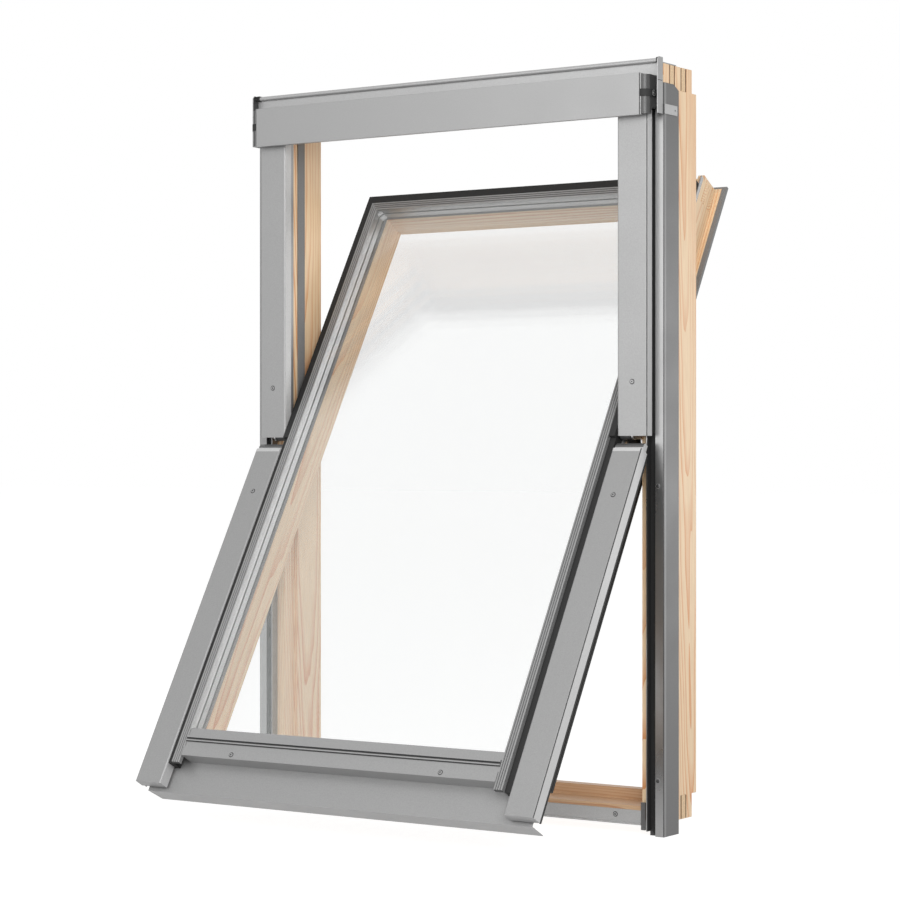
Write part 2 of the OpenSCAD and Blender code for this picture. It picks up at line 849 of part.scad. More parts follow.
module lower_cover_clips() {
    side = stile_x + 0.05;
    tip = lower_screw_x + 8;
    end = tongue_v + 30;
    back = sheet_t + 2;
    section = [[side, back + 0.4], [side + 2, sheet_t], [tip, sheet_t], [tip, back], [side + 3, back],
        [side + 2.2, back + 2], [side + 2.2, end], [side, end]];
    color(plastic) on_sash() both() difference() {
        for (s = [lower_screw_s, -lower_end + 120])
            translate([0, 0, s - 15]) linear_extrude(30) polygon(section);
        translate([lower_screw_x, 0, lower_screw_s]) rod_v(0, 10, clip_hole_r);
    }
}

// Rubber lips inside the outer flanges of the lower covers
module cover_lips() {
    x1 = lower_x + lower_cover_w - sheet_t;
    color(rubber) on_sash() both()
        block([x1 - 2.5, lower_flange - 5, sheet_t - lower_end], [x1, lower_flange + 7, -cover_start - 3]);
}

module sash_screws() {
    color(bright) on_sash() both() {
        translate([lower_screw_x, 0, lower_screw_s]) screw(4, 2, 8);
        translate([bead_screw_x, bead_front, bead_screw_s]) screw(3.4, 1.6, 6);
    }
}

// HANDLE

module catch_plate() {
    color(bright)
        block([-18, y_rail, sill_stop_h - 24], [18, y_rail + catch_t, sill_stop_h]);
}

module handle_rose() {
    color(dark_metal) on_sash() difference() {
        translate([0, sash_back, handle_s]) {
            block([-32, 0, -13], [32, rose_t, 13]);
            rod_v(0, boss_t, 11);
        }
        translate([0, 0, handle_s]) rod_v(sash_back - 1, big, spindle_r + run_gap);
    }
}

module handle_lever() {
    lever_v = nose_v + nose_t;
    color(dark_metal) on_sash() translate([0, 0, handle_s]) {
        rod_v(sash_back - 18, nose_v + 1, spindle_r);
        rod_v(sash_back + boss_t + 0.3, lever_v + lever_t, neck_r);
        block([0, nose_v, -6], [nose_len, lever_v, 6]);
        block([-lever_len, lever_v, -neck_r], [0, lever_v + lever_t, neck_r]);
        translate([-lever_len, 0, 0]) rod_v(lever_v, lever_v + lever_t, neck_r);
    }
}

left() jamb();  // left_jamb
jamb();  // right_jamb
head_rail();
sill_rail();
left() channel();  // left_channel
channel();  // right_channel
left() skirt();  // left_skirt
skirt();  // right_skirt
head_cladding();
hood_front();
left() hood_cap();  // left_hood_cap
hood_cap();  // right_hood_cap
left() corner_tab();  // left_corner_tab
corner_tab();  // right_corner_tab
sill_cladding();
left() upper_cover();  // left_upper_cover
upper_cover();  // right_upper_cover
upper_cover_clips();
left() channel_seal();  // left_channel_seal
channel_seal();  // right_channel_seal
left() jamb_seal();  // left_jamb_seal
jamb_seal();  // right_jamb_seal
channel_feet();
left() frame_hinge();  // left_frame_hinge
frame_hinge();  // right_frame_hinge
catch_plate();
lip_trims();
frame_screws();
left() stile();  // left_stile
stile();  // right_stile
sash_top_rail();
sash_bottom_rail();
pane(glass_at, pane_t);  // outer_pane
pane(outer_gap_v + spacer_d, middle_pane_t);  // middle_pane
pane(inner_gap_v + spacer_d, pane_t);  // inner_pane
spacer(outer_gap_v);  // outer_spacer
spacer(inner_gap_v);  // inner_spacer
edge_seal();
inner_glazing_seal();
left() side_bead();  // left_bead
side_bead();  // right_bead
top_bead();
bottom_bead();
apron();
left() lower_cover();  // left_lower_cover
lower_cover();  // right_lower_cover
left() cover_end();  // left_cover_end
cover_end();  // right_cover_end
lower_cover_clips();
glazing_band();
sash_seal();
left() edge_strip();  // left_edge_strip
edge_strip();  // right_edge_strip
cover_lips();
left() sash_hinge();  // left_sash_hinge
sash_hinge();  // right_sash_hinge
handle_rose();
sash_screws();
handle_lever();
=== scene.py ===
"""Dress a centre-pivot timber roof window with its finishes, fixings and studio."""

import json
import logging
import math
from dataclasses import dataclass, field
from enum import Enum
from typing import Callable, Sequence

import bmesh
import bpy
from mathutils import Euler, Matrix, Vector

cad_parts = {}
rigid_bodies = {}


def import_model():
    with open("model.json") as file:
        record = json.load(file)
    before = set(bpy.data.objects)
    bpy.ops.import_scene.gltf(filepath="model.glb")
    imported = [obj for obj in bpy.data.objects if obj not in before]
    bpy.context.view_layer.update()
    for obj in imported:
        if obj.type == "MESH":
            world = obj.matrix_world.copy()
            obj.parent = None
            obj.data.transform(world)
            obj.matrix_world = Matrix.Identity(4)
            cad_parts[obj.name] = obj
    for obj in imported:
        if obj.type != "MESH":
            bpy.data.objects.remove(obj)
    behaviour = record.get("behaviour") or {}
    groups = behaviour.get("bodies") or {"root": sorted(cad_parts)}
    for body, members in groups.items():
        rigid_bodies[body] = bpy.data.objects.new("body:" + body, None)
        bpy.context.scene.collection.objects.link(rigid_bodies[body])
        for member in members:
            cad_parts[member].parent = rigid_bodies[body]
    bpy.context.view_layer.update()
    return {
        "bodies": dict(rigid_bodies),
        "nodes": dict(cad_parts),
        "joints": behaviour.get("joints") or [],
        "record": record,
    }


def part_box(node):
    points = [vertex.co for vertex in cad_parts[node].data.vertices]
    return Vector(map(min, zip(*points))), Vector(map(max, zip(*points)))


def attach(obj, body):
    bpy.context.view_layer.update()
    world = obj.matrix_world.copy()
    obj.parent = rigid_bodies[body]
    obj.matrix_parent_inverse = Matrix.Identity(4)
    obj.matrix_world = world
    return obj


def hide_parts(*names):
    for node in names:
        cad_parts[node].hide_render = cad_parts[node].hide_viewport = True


LOG = logging.getLogger("roof_window")
MM = 0.001
WELD = 1e-6
SIDES = ("left", "right")

# A face looks a way squarely or roughly when this share of its normal points there.
SQUARELY = 0.9
ROUGHLY = 0.5

FRONT = Vector((0, -1, 0))

Triple = tuple[float, float, float]
Colour = tuple[float, float, float]
BMesh = bmesh.types.BMesh
Edge = bmesh.types.BMEdge
Face = bmesh.types.BMFace
FaceTest = Callable[[Face], bool]
Material = bpy.types.Material
Socket = bpy.types.NodeSocket
Plane = tuple[Vector, Vector]
Span = tuple[Triple, Triple]


class Body(str, Enum):
    """The moving bodies of the window."""

    FRAME = "frame"
    SASH = "sash"
    HANDLE = "handle"


class Grain(Enum):
    """Which way the grain of a timber piece runs."""

    ACROSS = "X"
    UPRIGHT = "Z"


class Side(float, Enum):
    """The two sides of the window as signs of X."""

    LEFT = -1.0
    RIGHT = 1.0


def linear(red: float, green: float, blue: float) -> Colour:
    """Return a linear colour for three display values from 0 to 255."""
    shares = (value / 255.0 for value in (red, green, blue))
    return tuple(v / 12.92 if v <= 0.04045 else ((v + 0.055) / 1.055) ** 2.4 for v in shares)


def grey(level: float) -> Colour:
    """Return a linear grey for a display value from 0 to 255."""
    return linear(level, level, level)


def shaded(colour: Colour, share: float) -> Colour:
    """Return a colour with all its parts multiplied by a share."""
    return tuple(part * share for part in colour)


def stand(name: str, data: bpy.types.ID) -> bpy.types.Object:
    """Put a new object into the scene.

    Args:
        name: The object's name.
        data: Its mesh, camera or lamp.

    Returns:
        The object.
    """
    new = bpy.data.objects.new(name, data)
    bpy.context.scene.collection.objects.link(new)
    return new


def width_of(face: Face) -> float:
    """Return a face's area over its longest edge, which is small for slim faces."""
    return face.calc_area() / max(edge.calc_length() for edge in face.edges)


def reach_of(face: Face) -> float:
    """Return how far to either side of the window's middle a face lies."""
    return abs(face.calc_center_median().x)


def outlook_of(face: Face) -> float:
    """Return how squarely a face looks away from the window's middle, from -1 to 1."""
    return math.copysign(1.0, face.calc_center_median().x) * face.normal.x


def outer_fold(share: float, front: Vector) -> FaceTest:
    """Return a test for faces that look both outwards and to a front by more than a share."""
    return lambda face: outlook_of(face) > share and face.normal.dot(front) > share


def frame_side() -> float:
    """Return how far from the window's middle the outer sides of the jambs are."""
    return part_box("right_jamb")[1][0]


def split(bm: BMesh, plane: Plane, drop: bool = False) -> list[Edge]:
    """Part a mesh along a plane, drop what the plane faces if asked, and return the new rim."""
    cut = bmesh.ops.bisect_plane(bm, geom=[*bm.verts, *bm.edges, *bm.faces], plane_co=plane[0],
                                 plane_no=plane[1], clear_outer=drop)
    return [item for item in cut["geom_cut"] if isinstance(item, Edge)]


def round_off(bm: BMesh, edges: list[Edge], width: float) -> None:
    """Round edges of a mesh by a width in metres."""
    bmesh.ops.bevel(bm, geom=edges, offset=width, offset_type="OFFSET", segments=2, profile=0.5,
                    affect="EDGES", clamp_overlap=True)


class NodeKit:
    """A node tree with a short way to add nodes."""

    def __init__(self, tree: bpy.types.NodeTree) -> None:
        """Take the tree."""
        self.tree = tree

    def fill(self, node: bpy.types.Node, inputs: dict[str | int, object]) -> None:
        """Set or join input sockets of a node.

        Args:
            node: The node.
            inputs: Values, or sockets to join, by the name or the index of the input.
        """
        for key, value in inputs.items():
            if isinstance(value, Socket):
                self.tree.links.new(value, node.inputs[key])
            else:
                node.inputs[key].default_value = value

    def node(self, kind: str, inputs: dict[str | int, object], **properties: str) -> bpy.types.Node:
        """Add a node.

        Args:
            kind: Its type name.
            inputs: What fill takes.
            properties: Its properties.

        Returns:
            The node.
        """
        new = self.tree.nodes.new(kind)
        for key, value in properties.items():
            setattr(new, key, value)
        self.fill(new, inputs)
        return new

    def seen(self) -> Socket:
        """Return 1 on the rays that show the background: camera, glossy and transmission.

        Returns:
            The value socket.
        """
        rays = self.node("ShaderNodeLightPath", {}).outputs
        value = rays["Is Camera Ray"]
        for name in ("Is Glossy Ray", "Is Transmission Ray"):
            either = self.node("ShaderNodeMath", {0: value, 1: rays[name]}, operation="MAXIMUM")
            value = either.outputs["Value"]
        return value


class Shader(NodeKit):
    """A material with a Principled shader and short ways to feed it."""

    # Most of a noise lies between these two factors.
    NOISE_SPAN = (0.3, 0.7)

    def __init__(self, name: str) -> None:
        """Start the material.

        Args:
            name: Its name.
        """
        self.material = bpy.data.materials.new(name)
        self.material.use_nodes = True
        super().__init__(self.material.node_tree)

    def surface(self, **inputs: object) -> None:
        """Set or join inputs of the Principled shader, with underscores for blanks."""
        named = {key.replace("_", " "): value for key, value in inputs.items()}
        self.fill(self.tree.nodes["Principled BSDF"], named)

    def place(self, stretch: Triple = (1, 1, 1), turn: Triple = (0, 0, 0),
              centre: Triple = (0, 0, 0)) -> Socket:
        """Return object coordinates about a centre, turned and drawn out along three axes."""
        inputs = {"Vector": self.node("ShaderNodeTexCoord", {}).outputs["Object"],
                  "Location": centre, "Rotation": turn, "Scale": stretch}
        return self.node("ShaderNodeMapping", inputs, vector_type="TEXTURE").outputs["Vector"]

    def noise(self, where: Socket, scale: float, detail: float = 2.0) -> Socket:
        """Return a noise of some cycles per metre and some octaves."""
        inputs = {"Vector": where, "Scale": scale, "Detail": detail}
        return self.node("ShaderNodeTexNoise", inputs).outputs["Fac"]

    def spread(self, value: Socket, low: float, high: float) -> Socket:
        """Return a noise spread between two numbers."""
        limits = zip(("From Min", "From Max", "To Min", "To Max"), (*self.NOISE_SPAN, low, high))
        return self.node("ShaderNodeMapRange", {"Value": value, **dict(limits)}).outputs["Result"]

    def times(self, first: Socket, second: Socket) -> Socket:
        """Return the product of two values."""
        factors = {0: first, 1: second}
        return self.node("ShaderNodeMath", factors, operation="MULTIPLY").outputs["Value"]

    def over(self, base: Socket, layer: Socket, share: float) -> Socket:
        """Return one colour multiplied by a share of another."""
        mix = self.node("ShaderNodeMix", {0: share, 6: base, 7: layer}, data_type="RGBA",
                        blend_type="MULTIPLY")
        return mix.outputs[2]

    def bump(self, height: Socket, strength: float, distance: float) -> None:
        """Give the surface relief of some strength and some metres from a height value."""
        inputs = {"Height": height, "Strength": strength, "Distance": distance}
        self.surface(Normal=self.node("ShaderNodeBump", inputs).outputs["Normal"])

    def ramp(self, value: Socket, stops: Sequence[tuple[float, Colour]]) -> Socket:
        """Return colours spread over a value.

        Args:
            value: The factor socket.
            stops: Positions with their colours.

        Returns:
            The colour socket.
        """
        ramp = self.node("ShaderNodeValToRGB", {"Fac": value})
        elements = ramp.color_ramp.elements
        while len(elements) < len(stops):
            elements.new(0.5)
        for element, (position, colour) in zip(elements, stops):
            element.position = position
            element.color = (*colour, 1.0)
        return ramp.outputs["Color"]

    def fleck(self, value: Socket, base: Colour, dark: float, light: float) -> None:
        """Give the surface a colour that a noise darkens and lightens by two shares."""
        stops = list(zip(self.NOISE_SPAN, (shaded(base, dark), shaded(base, light))))
        self.surface(Base_Color=self.ramp(value, stops))


@dataclass(frozen=True)
class LacqueredMetal:
    """Satin lacquer with fine metallic flakes over aluminium sheet."""

    name: str
    level: float
    metallic: float = 0.35
    roughness: float = 0.38
    speckle: float = 0.06
    flakes_per_m: float = 650.0
    ripple: float = 0.05
    ripple_depth: float = 0.1 * MM
    clouds_per_m: float = 14.0
    cloud: float = 0.03

    def build(self) -> Material:
        """Build the finish.

        Returns:
            The material.
        """
        shader = Shader(self.name)
        shader.surface(Metallic=self.metallic)
        flakes = shader.noise(shader.place(), self.flakes_per_m, 1.0)
        shader.fleck(flakes, grey(self.level), 1 - self.speckle, 1 + self.speckle)
        clouds = shader.noise(shader.place(), self.clouds_per_m)
        gloss = shader.spread(clouds, self.roughness - self.cloud, self.roughness + self.cloud)
        shader.surface(Roughness=gloss)
        shader.bump(flakes, self.ripple, self.ripple_depth)
        return shader.material


@dataclass(frozen=True)
class Timber:
    """Clear lacquered pine, whose yearly rings run round a pith in or beside the piece."""

    name: str
    grain: Grain
    pith: Triple
    lean: float = 0.0
    tilt: float = 0.028
    pale: Colour = linear(241, 212, 174)
    late: Colour = linear(218, 148, 92)
    ring: float = 4.0 * MM
    plain_pitch: float = math.pi / 10
    wander: float = 13.0
    drawn_out: float = 11.0
    twist: float = 0.7
    patches_per_m: float = 16.0
    strength: tuple[float, float] = (0.7, 1.06)
    bands: tuple[float, float, float, float] = (0.42, 0.74, 0.9, 1.0)
    fibres_per_m: float = 380.0
    fibre_tint: Colour = (0.86, 0.82, 0.78)
    fibre_share: float = 0.5
    relief: float = 0.1
    relief_depth: float = 0.2 * MM

    def build(self) -> Material:
        """Build the finish.

        Returns:
            The material.
        """
        shader = Shader(self.name)
        shader.surface(Roughness=0.46, Coat_Weight=0.12, Coat_Roughness=0.3)
        where = self.along(shader, self.drawn_out)
        inputs = {"Vector": where, "Scale": self.plain_pitch / self.ring, "Distortion": self.wander,
                  "Detail": 2.0, "Detail Scale": 0.36, "Detail Roughness": 0.4}
        rings = shader.node("ShaderNodeTexWave", inputs, wave_type="RINGS", wave_profile="SAW",
                            rings_direction=self.grain.value)
        patches = shader.noise(where, self.patches_per_m, 1.0)
        lines = shader.times(rings.outputs["Fac"], shader.spread(patches, *self.strength))
        middle = tuple((early + late) / 2 for early, late in zip(self.pale, self.late))
        colours = (self.pale, middle, self.late, middle)
        colour = shader.ramp(lines, list(zip(self.bands, colours)))
        fibre = shader.noise(self.along(shader, 2 * self.drawn_out), self.fibres_per_m)
        fine = shader.ramp(fibre, [(0.35, self.fibre_tint), (0.6, (1.0, 1.0, 1.0))])
        shader.surface(Base_Color=shader.over(colour, fine, self.fibre_share))
        shader.bump(fibre, self.relief, self.relief_depth)
        return shader.material

    def along(self, shader: Shader, drawn_out: float) -> Socket:
        """Return coordinates about the pith, drawn out along the grain by a share."""
        if self.grain is Grain.ACROSS:
            return shader.place((drawn_out, 1, 1), (-self.lean, 0, self.tilt), self.pith)
        turn = (self.tilt - self.lean, self.tilt * self.twist, 0)
        return shader.place((1, 1, drawn_out), turn, self.pith)


@dataclass(frozen=True)
class Moulded:
    """Rubber, plastic or end grain with a fine even skin."""

    name: str
    colour: Colour
    roughness: float = 0.6
    mottle: float = 0.12
    skin_per_m: float = 1500.0
    relief: float = 0.12
    relief_depth: float = 0.15 * MM

    def build(self) -> Material:
        """Build the finish.

        Returns:
            The material.
        """
        shader = Shader(self.name)
        shader.surface(Roughness=self.roughness)
        skin = shader.noise(shader.place(), self.skin_per_m)
        shader.fleck(skin, self.colour, 1 - self.mottle, 1 + self.mottle)
        shader.bump(skin, self.relief, self.relief_depth)
        return shader.material


@dataclass(frozen=True)
class DrawnMetal:
    """Bare drawn or plated metal with faint lines along its length."""

    name: str
    level: float
    roughness: float = 0.28
    metallic: float = 0.9
    lines_per_m: float = 900.0
    drawn_out: float = 30.0
    swing: float = 0.05

    def build(self) -> Material:
        """Build the finish.

        Returns:
            The material.
        """
        shader = Shader(self.name)
        shader.surface(Metallic=self.metallic)
        lines = shader.noise(shader.place((self.drawn_out, 1, 1)), self.lines_per_m)
        shader.fleck(lines, grey(self.level), 0.9, 1.06)
        gloss = shader.spread(lines, self.roughness - self.swing, self.roughness + self.swing)
        shader.surface(Roughness=gloss)
        return shader.material


@dataclass(frozen=True)
class ClearGlass:
    """Clear float glass, whose two faces each mirror a few parts in a hundred."""

    name: str
    mirror: Colour = (0.96, 0.985, 0.975)
    share: float = 0.055

    def build(self) -> Material:
        """Build the finish.

        Returns:
            The material.
        """
        shader = Shader(self.name)
        shader.surface(Base_Color=(*self.mirror, 1), Metallic=1.0, Roughness=0.0, Alpha=self.share)
        return shader.material


class Finishes:
    """All finishes of the window that more than one piece shares."""

    def __init__(self) -> None:
        """Build the materials."""
        self.cover_metal = LacqueredMetal("cover_lacquer", 152).build()
        # A lighter copy of the cover lacquer. On the covers' side flanges it is painted light from the
        # side lamps; the end pieces and pressed bands take it too.
        self.lit_flange_metal = LacqueredMetal("lit_flange_lacquer", 190, 0.15, 0.42).build()
        self.channel_metal = LacqueredMetal("channel_lacquer", 146, 0.85, 0.3, speckle=0.03,
                                            ripple=0.004).build()
        # A darker copy of the channel lacquer: painted shade on the channels' side returns.
        self.shaded_return_metal = LacqueredMetal("shaded_return_lacquer", 122).build()
        self.bead_metal = LacqueredMetal("bead_lacquer", 156, 0.5, 0.32).build()
        # A darker lacquer: painted shade on the beads' groove floors and under the bottom bead's steps.
        self.groove_shade_metal = LacqueredMetal("groove_shade_lacquer", 74, 0.4, 0.45).build()
        self.skirt_metal = LacqueredMetal("skirt_lacquer", 94).build()
        # A dark lacquer for the joint lines on the end plates, and for painted shade and painted dark
        # reflections on folds, troughs, end plates' inner faces, gaps, screw rings and rivet domes.
        self.seam = LacqueredMetal("seam_and_shade_lacquer", 60, 0.3, 0.45).build()
        self.tab_metal = LacqueredMetal("tab_lacquer", 168).build()
        self.plastic = Moulded("dark_moulding", grey(66), 0.34).build()
        self.black = Moulded("black_rubber", grey(20), 0.72).build()
        self.grey = Moulded("grey_rubber", grey(126), 0.65).build()
        self.spacer = DrawnMetal("spacer_aluminium", 172, 0.4, 0.6).build()
        self.steel = DrawnMetal("plated_steel", 196, 0.25).build()
        self.handle = LacqueredMetal("handle_lacquer", 150).build()
        self.glass = ClearGlass("clear_glass").build()


@dataclass(frozen=True)
class SashPlane:
    """Turns widths, depths and heights about the sash's pivot into places in the room."""

    pivot: Vector
    lean: float
    axis_depth: float = 10 * MM

    @property
    def inward(self) -> Vector:
        """The way from the cover faces through the glass."""
        return Vector((0, math.cos(self.lean), -math.sin(self.lean)))

    @property
    def upward(self) -> Vector:
        """The way from the pivot up the sash."""
        return Vector((0, math.sin(self.lean), math.cos(self.lean)))

    def point(self, x: float, depth: float, height: float) -> Vector:
        """Return a place for a width, a depth behind the cover faces and a height."""
        behind = self.inward * (depth - self.axis_depth)
        return self.pivot + Vector((x, 0, 0)) + behind + self.upward * height

    def height(self, face: Face) -> float:
        """Return how far up the sash from its pivot a face lies."""
        return (face.calc_center_median() - self.pivot).dot(self.upward)

    def depth(self, face: Face) -> float:
        """Return how far behind the cover faces a face lies."""
        return (face.calc_center_median() - self.pivot).dot(self.inward) + self.axis_depth

    def outlook(self, face: Face) -> float:
        """Return how squarely a face looks out of the front of the sash, from -1 to 1."""
        return -face.normal.dot(self.inward)


@dataclass(frozen=True)
class Mark:
    """A finish for the faces of a piece that pass a test."""

    finish: Material
    test: FaceTest


@dataclass
class Bench:
    """The loaded frame with the tools that every sub-assembly uses."""

    frame: dict
    finishes: Finishes
    sash: SashPlane
    flat_width: float = 2.2 * MM
    flat_angle: float = math.radians(0.5)
    sharp_angle: float = math.radians(35)
    long_edge: float = 3.0
    wide_face: float = 1.2
    bodies: dict[str, str] = field(init=False)

    def __post_init__(self) -> None:
        """List the body of every node."""
        listed = self.frame["record"]["behaviour"]["bodies"]
        self.bodies = {node: body for body, nodes in listed.items() for node in nodes}

    def skin(self, node: str, finish: Material, edge: float = 0.0, marks: Sequence[Mark] = (),
             cuts: Sequence[Plane] = ()) -> None:
        """Replace a node with a copy whose edges are eased and whose faces carry finishes.

        Args:
            node: Name of the CAD node.
            finish: The main finish.
            edge: Width of the eased edges in metres, or 0 for none.
            marks: Finishes for some of the faces.
            cuts: Planes that part the faces before they are marked.
        """
        source = self.frame["nodes"][node]
        bm = bmesh.new()
        bm.from_mesh(source.data)
        bm.transform(source.matrix_world)
        bmesh.ops.remove_doubles(bm, verts=bm.verts, dist=WELD)
        bmesh.ops.dissolve_limit(bm, angle_limit=self.flat_angle, verts=bm.verts, edges=bm.edges)
        if edge:
            self.ease(bm, edge)
        for plane in cuts:
            split(bm, plane)
        self.coat(node, bm, finish, marks)

    def coat(self, node: str, bm: BMesh, finish: Material, marks: Sequence[Mark]) -> None:
        """Turn a mesh into the piece that stands for a node, with finishes on its faces.

        Args:
            node: Name of the CAD node.
            bm: The mesh, which is freed.
            finish: The main finish.
            marks: Finishes for some of the faces, of which the last that fits a face counts.
        """
        bm.normal_update()
        for face in bm.faces:
            face.smooth = width_of(face) < self.flat_width
            for index, mark in enumerate(marks):
                if mark.test(face):
                    face.material_index = index + 1
        finishes = [finish, *(mark.finish for mark in marks)]
        piece = self.piece(node + "_skin", bm, finishes, Body(self.bodies[node]))
        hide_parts(node)

    def ease(self, bm: BMesh, width: float) -> None:
        """Round the long sharp edges of a mesh between faces that are wide enough for it.

        Args:
            bm: The mesh.
            width: Width of the rounding in metres.
        """
        sharp = [edge for edge in bm.edges if len(edge.link_faces) == 2
                 and edge.calc_face_angle(0.0) > self.sharp_angle
                 and edge.calc_length() > self.long_edge * width
                 and min(map(width_of, edge.link_faces)) > self.wide_face * width]
        round_off(bm, sharp, width)

    def piece(self, name: str, bm: BMesh, finishes: Sequence[Material],
              body: Body) -> bpy.types.Object:
        """Turn a mesh into a piece that rides on a body.

        Args:
            name: The piece's name.
            bm: The mesh, which is freed.
            finishes: Its materials.
            body: The body that carries it.

        Returns:
            The piece.
        """
        for edge in bm.edges:
            edge.smooth = edge.calc_face_angle(math.pi) < self.sharp_angle
        mesh = bpy.data.meshes.new(name)
        bm.to_mesh(mesh)
        bm.free()
        for finish in finishes:
            mesh.materials.append(finish)
        new = stand(name, mesh)
        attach(new, body.value)
        LOG.info("built %s on %s", name, body.value)
        return new

    def paint(self, finish: Material, *nodes: str) -> None:
        """Give CAD nodes a finish and keep their shape.

        Args:
            finish: The material.
            nodes: Names of the nodes.
        """
        for node in nodes:
            mesh = self.frame["nodes"][node].data
            mesh.materials.clear()
            mesh.materials.append(finish)
            LOG.info("painted %s", node)

    def bars(self, name: str, spans: Sequence[Span], finish: Material, body: Body, slot: str,
             edge: float) -> None:
        """Build eased bars, each between two corners, as one piece.

        Args:
            name: The piece's name.
            spans: Lowest and highest corners in metres.
            finish: Its material.
            body: The body that carries it.
            slot: The record's material slot; not used.
            edge: Width of the eased edges, at most a third of the bar's least size.
        """
        bm = bmesh.new()
        for low, high in spans:
            low, high = Vector(low), Vector(high)
            size = high - low
            place = Matrix.Translation((low + high) / 2) @ Matrix.Diagonal((*size, 1.0))
            made = bmesh.ops.create_cube(bm, size=1.0, matrix=place)
            edges = dict.fromkeys(line for vert in made["verts"] for line in vert.link_edges)
            round_off(bm, list(edges), min(edge, min(size) / 3))
        bmesh.ops.recalc_face_normals(bm, faces=bm.faces)
        self.piece(name, bm, [finish], body)


@dataclass
class TimberFrame:
    """The fixed pine frame with its comb joints."""

    bench: Bench
    edge: float = 0.9 * MM
    comb_height: float = 38 * MM
    cut_margin: float = 2 * MM
    end_margin: float = 1 * MM
    finger_area: float = 0.0006
    rebate_back: float = 40 * MM
    sill_pith: Triple = (-0.2, 0.06, -0.03)

    def dress(self) -> None:
        """Give the four timbers their grain, painted shade on the comb slits' walls and the sill's
        rebate, and sawn ends.
        """
        up, across = Grain.UPRIGHT, Grain.ACROSS
        # The comb slits' walls take a darker pine: painted shade in the narrow slits.
        slit_shade = Timber("pine_slit_shade", up, (0.3, 0.1, 0.0), pale=linear(140, 105, 78),
                      late=linear(104, 76, 54)).build()
        ends = Moulded("pine_end_grain", linear(226, 197, 160), 0.7, 0.16, 420.0).build()
        # The sill's rebate below the sash takes a darker pine: painted shade under the sash.
        sill_shade = Timber("pine_sill_shade", across, self.sill_pith, pale=linear(196, 162, 128),
                      late=linear(176, 130, 94)).build()
        for node, timber in (
                ("left_jamb", Timber("pine_left_jamb", up, (-0.4, 0.02, 0.4))),
                ("right_jamb", Timber("pine_right_jamb", up, (0.352, 0.026, 0.62))),
                ("head_rail", Timber("pine_head", across, (0.1, 0.02, 1.06))),
                ("sill_rail", Timber("pine_sill", across, self.sill_pith))):
            marks = [Mark(slit_shade, self.in_saw_cut), Mark(ends, self.on_end_grain)]
            if node == "sill_rail":
                marks.insert(0, Mark(sill_shade, self.on_sill_front))
            self.bench.skin(node, timber.build(), self.edge, marks)

    def in_saw_cut(self, face: Face) -> bool:
        """Tell whether a face is a wall of a comb joint's slit.

        Args:
            face: A face of a timber.

        Returns:
            Whether it is one.
        """
        low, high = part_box("right_jamb")
        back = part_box("head_rail")[1][1]
        place = face.calc_center_median()
        in_comb = place.z < self.comb_height or place.z > high[2] - self.comb_height
        within = low[1] + self.cut_margin < place.y < back - self.cut_margin
        return abs(face.normal.y) > SQUARELY and in_comb and abs(place.x) > low[0] and within

    def on_sill_front(self, face: Face) -> bool:
        """Tell whether a face of the sill lies in the rebate below the sash."""
        front = face.normal.y < -ROUGHLY or (
            face.normal.z > ROUGHLY and face.calc_center_median().y < self.rebate_back)
        return front and reach_of(face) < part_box("right_jamb")[0][0] + self.cut_margin

    def on_end_grain(self, face: Face) -> bool:
        """Tell whether a face is the sawn end of a comb finger of the head or sill."""
        end = abs(face.normal.x) > SQUARELY and reach_of(face) > frame_side() - self.end_margin
        return end and face.calc_area() < self.finger_area


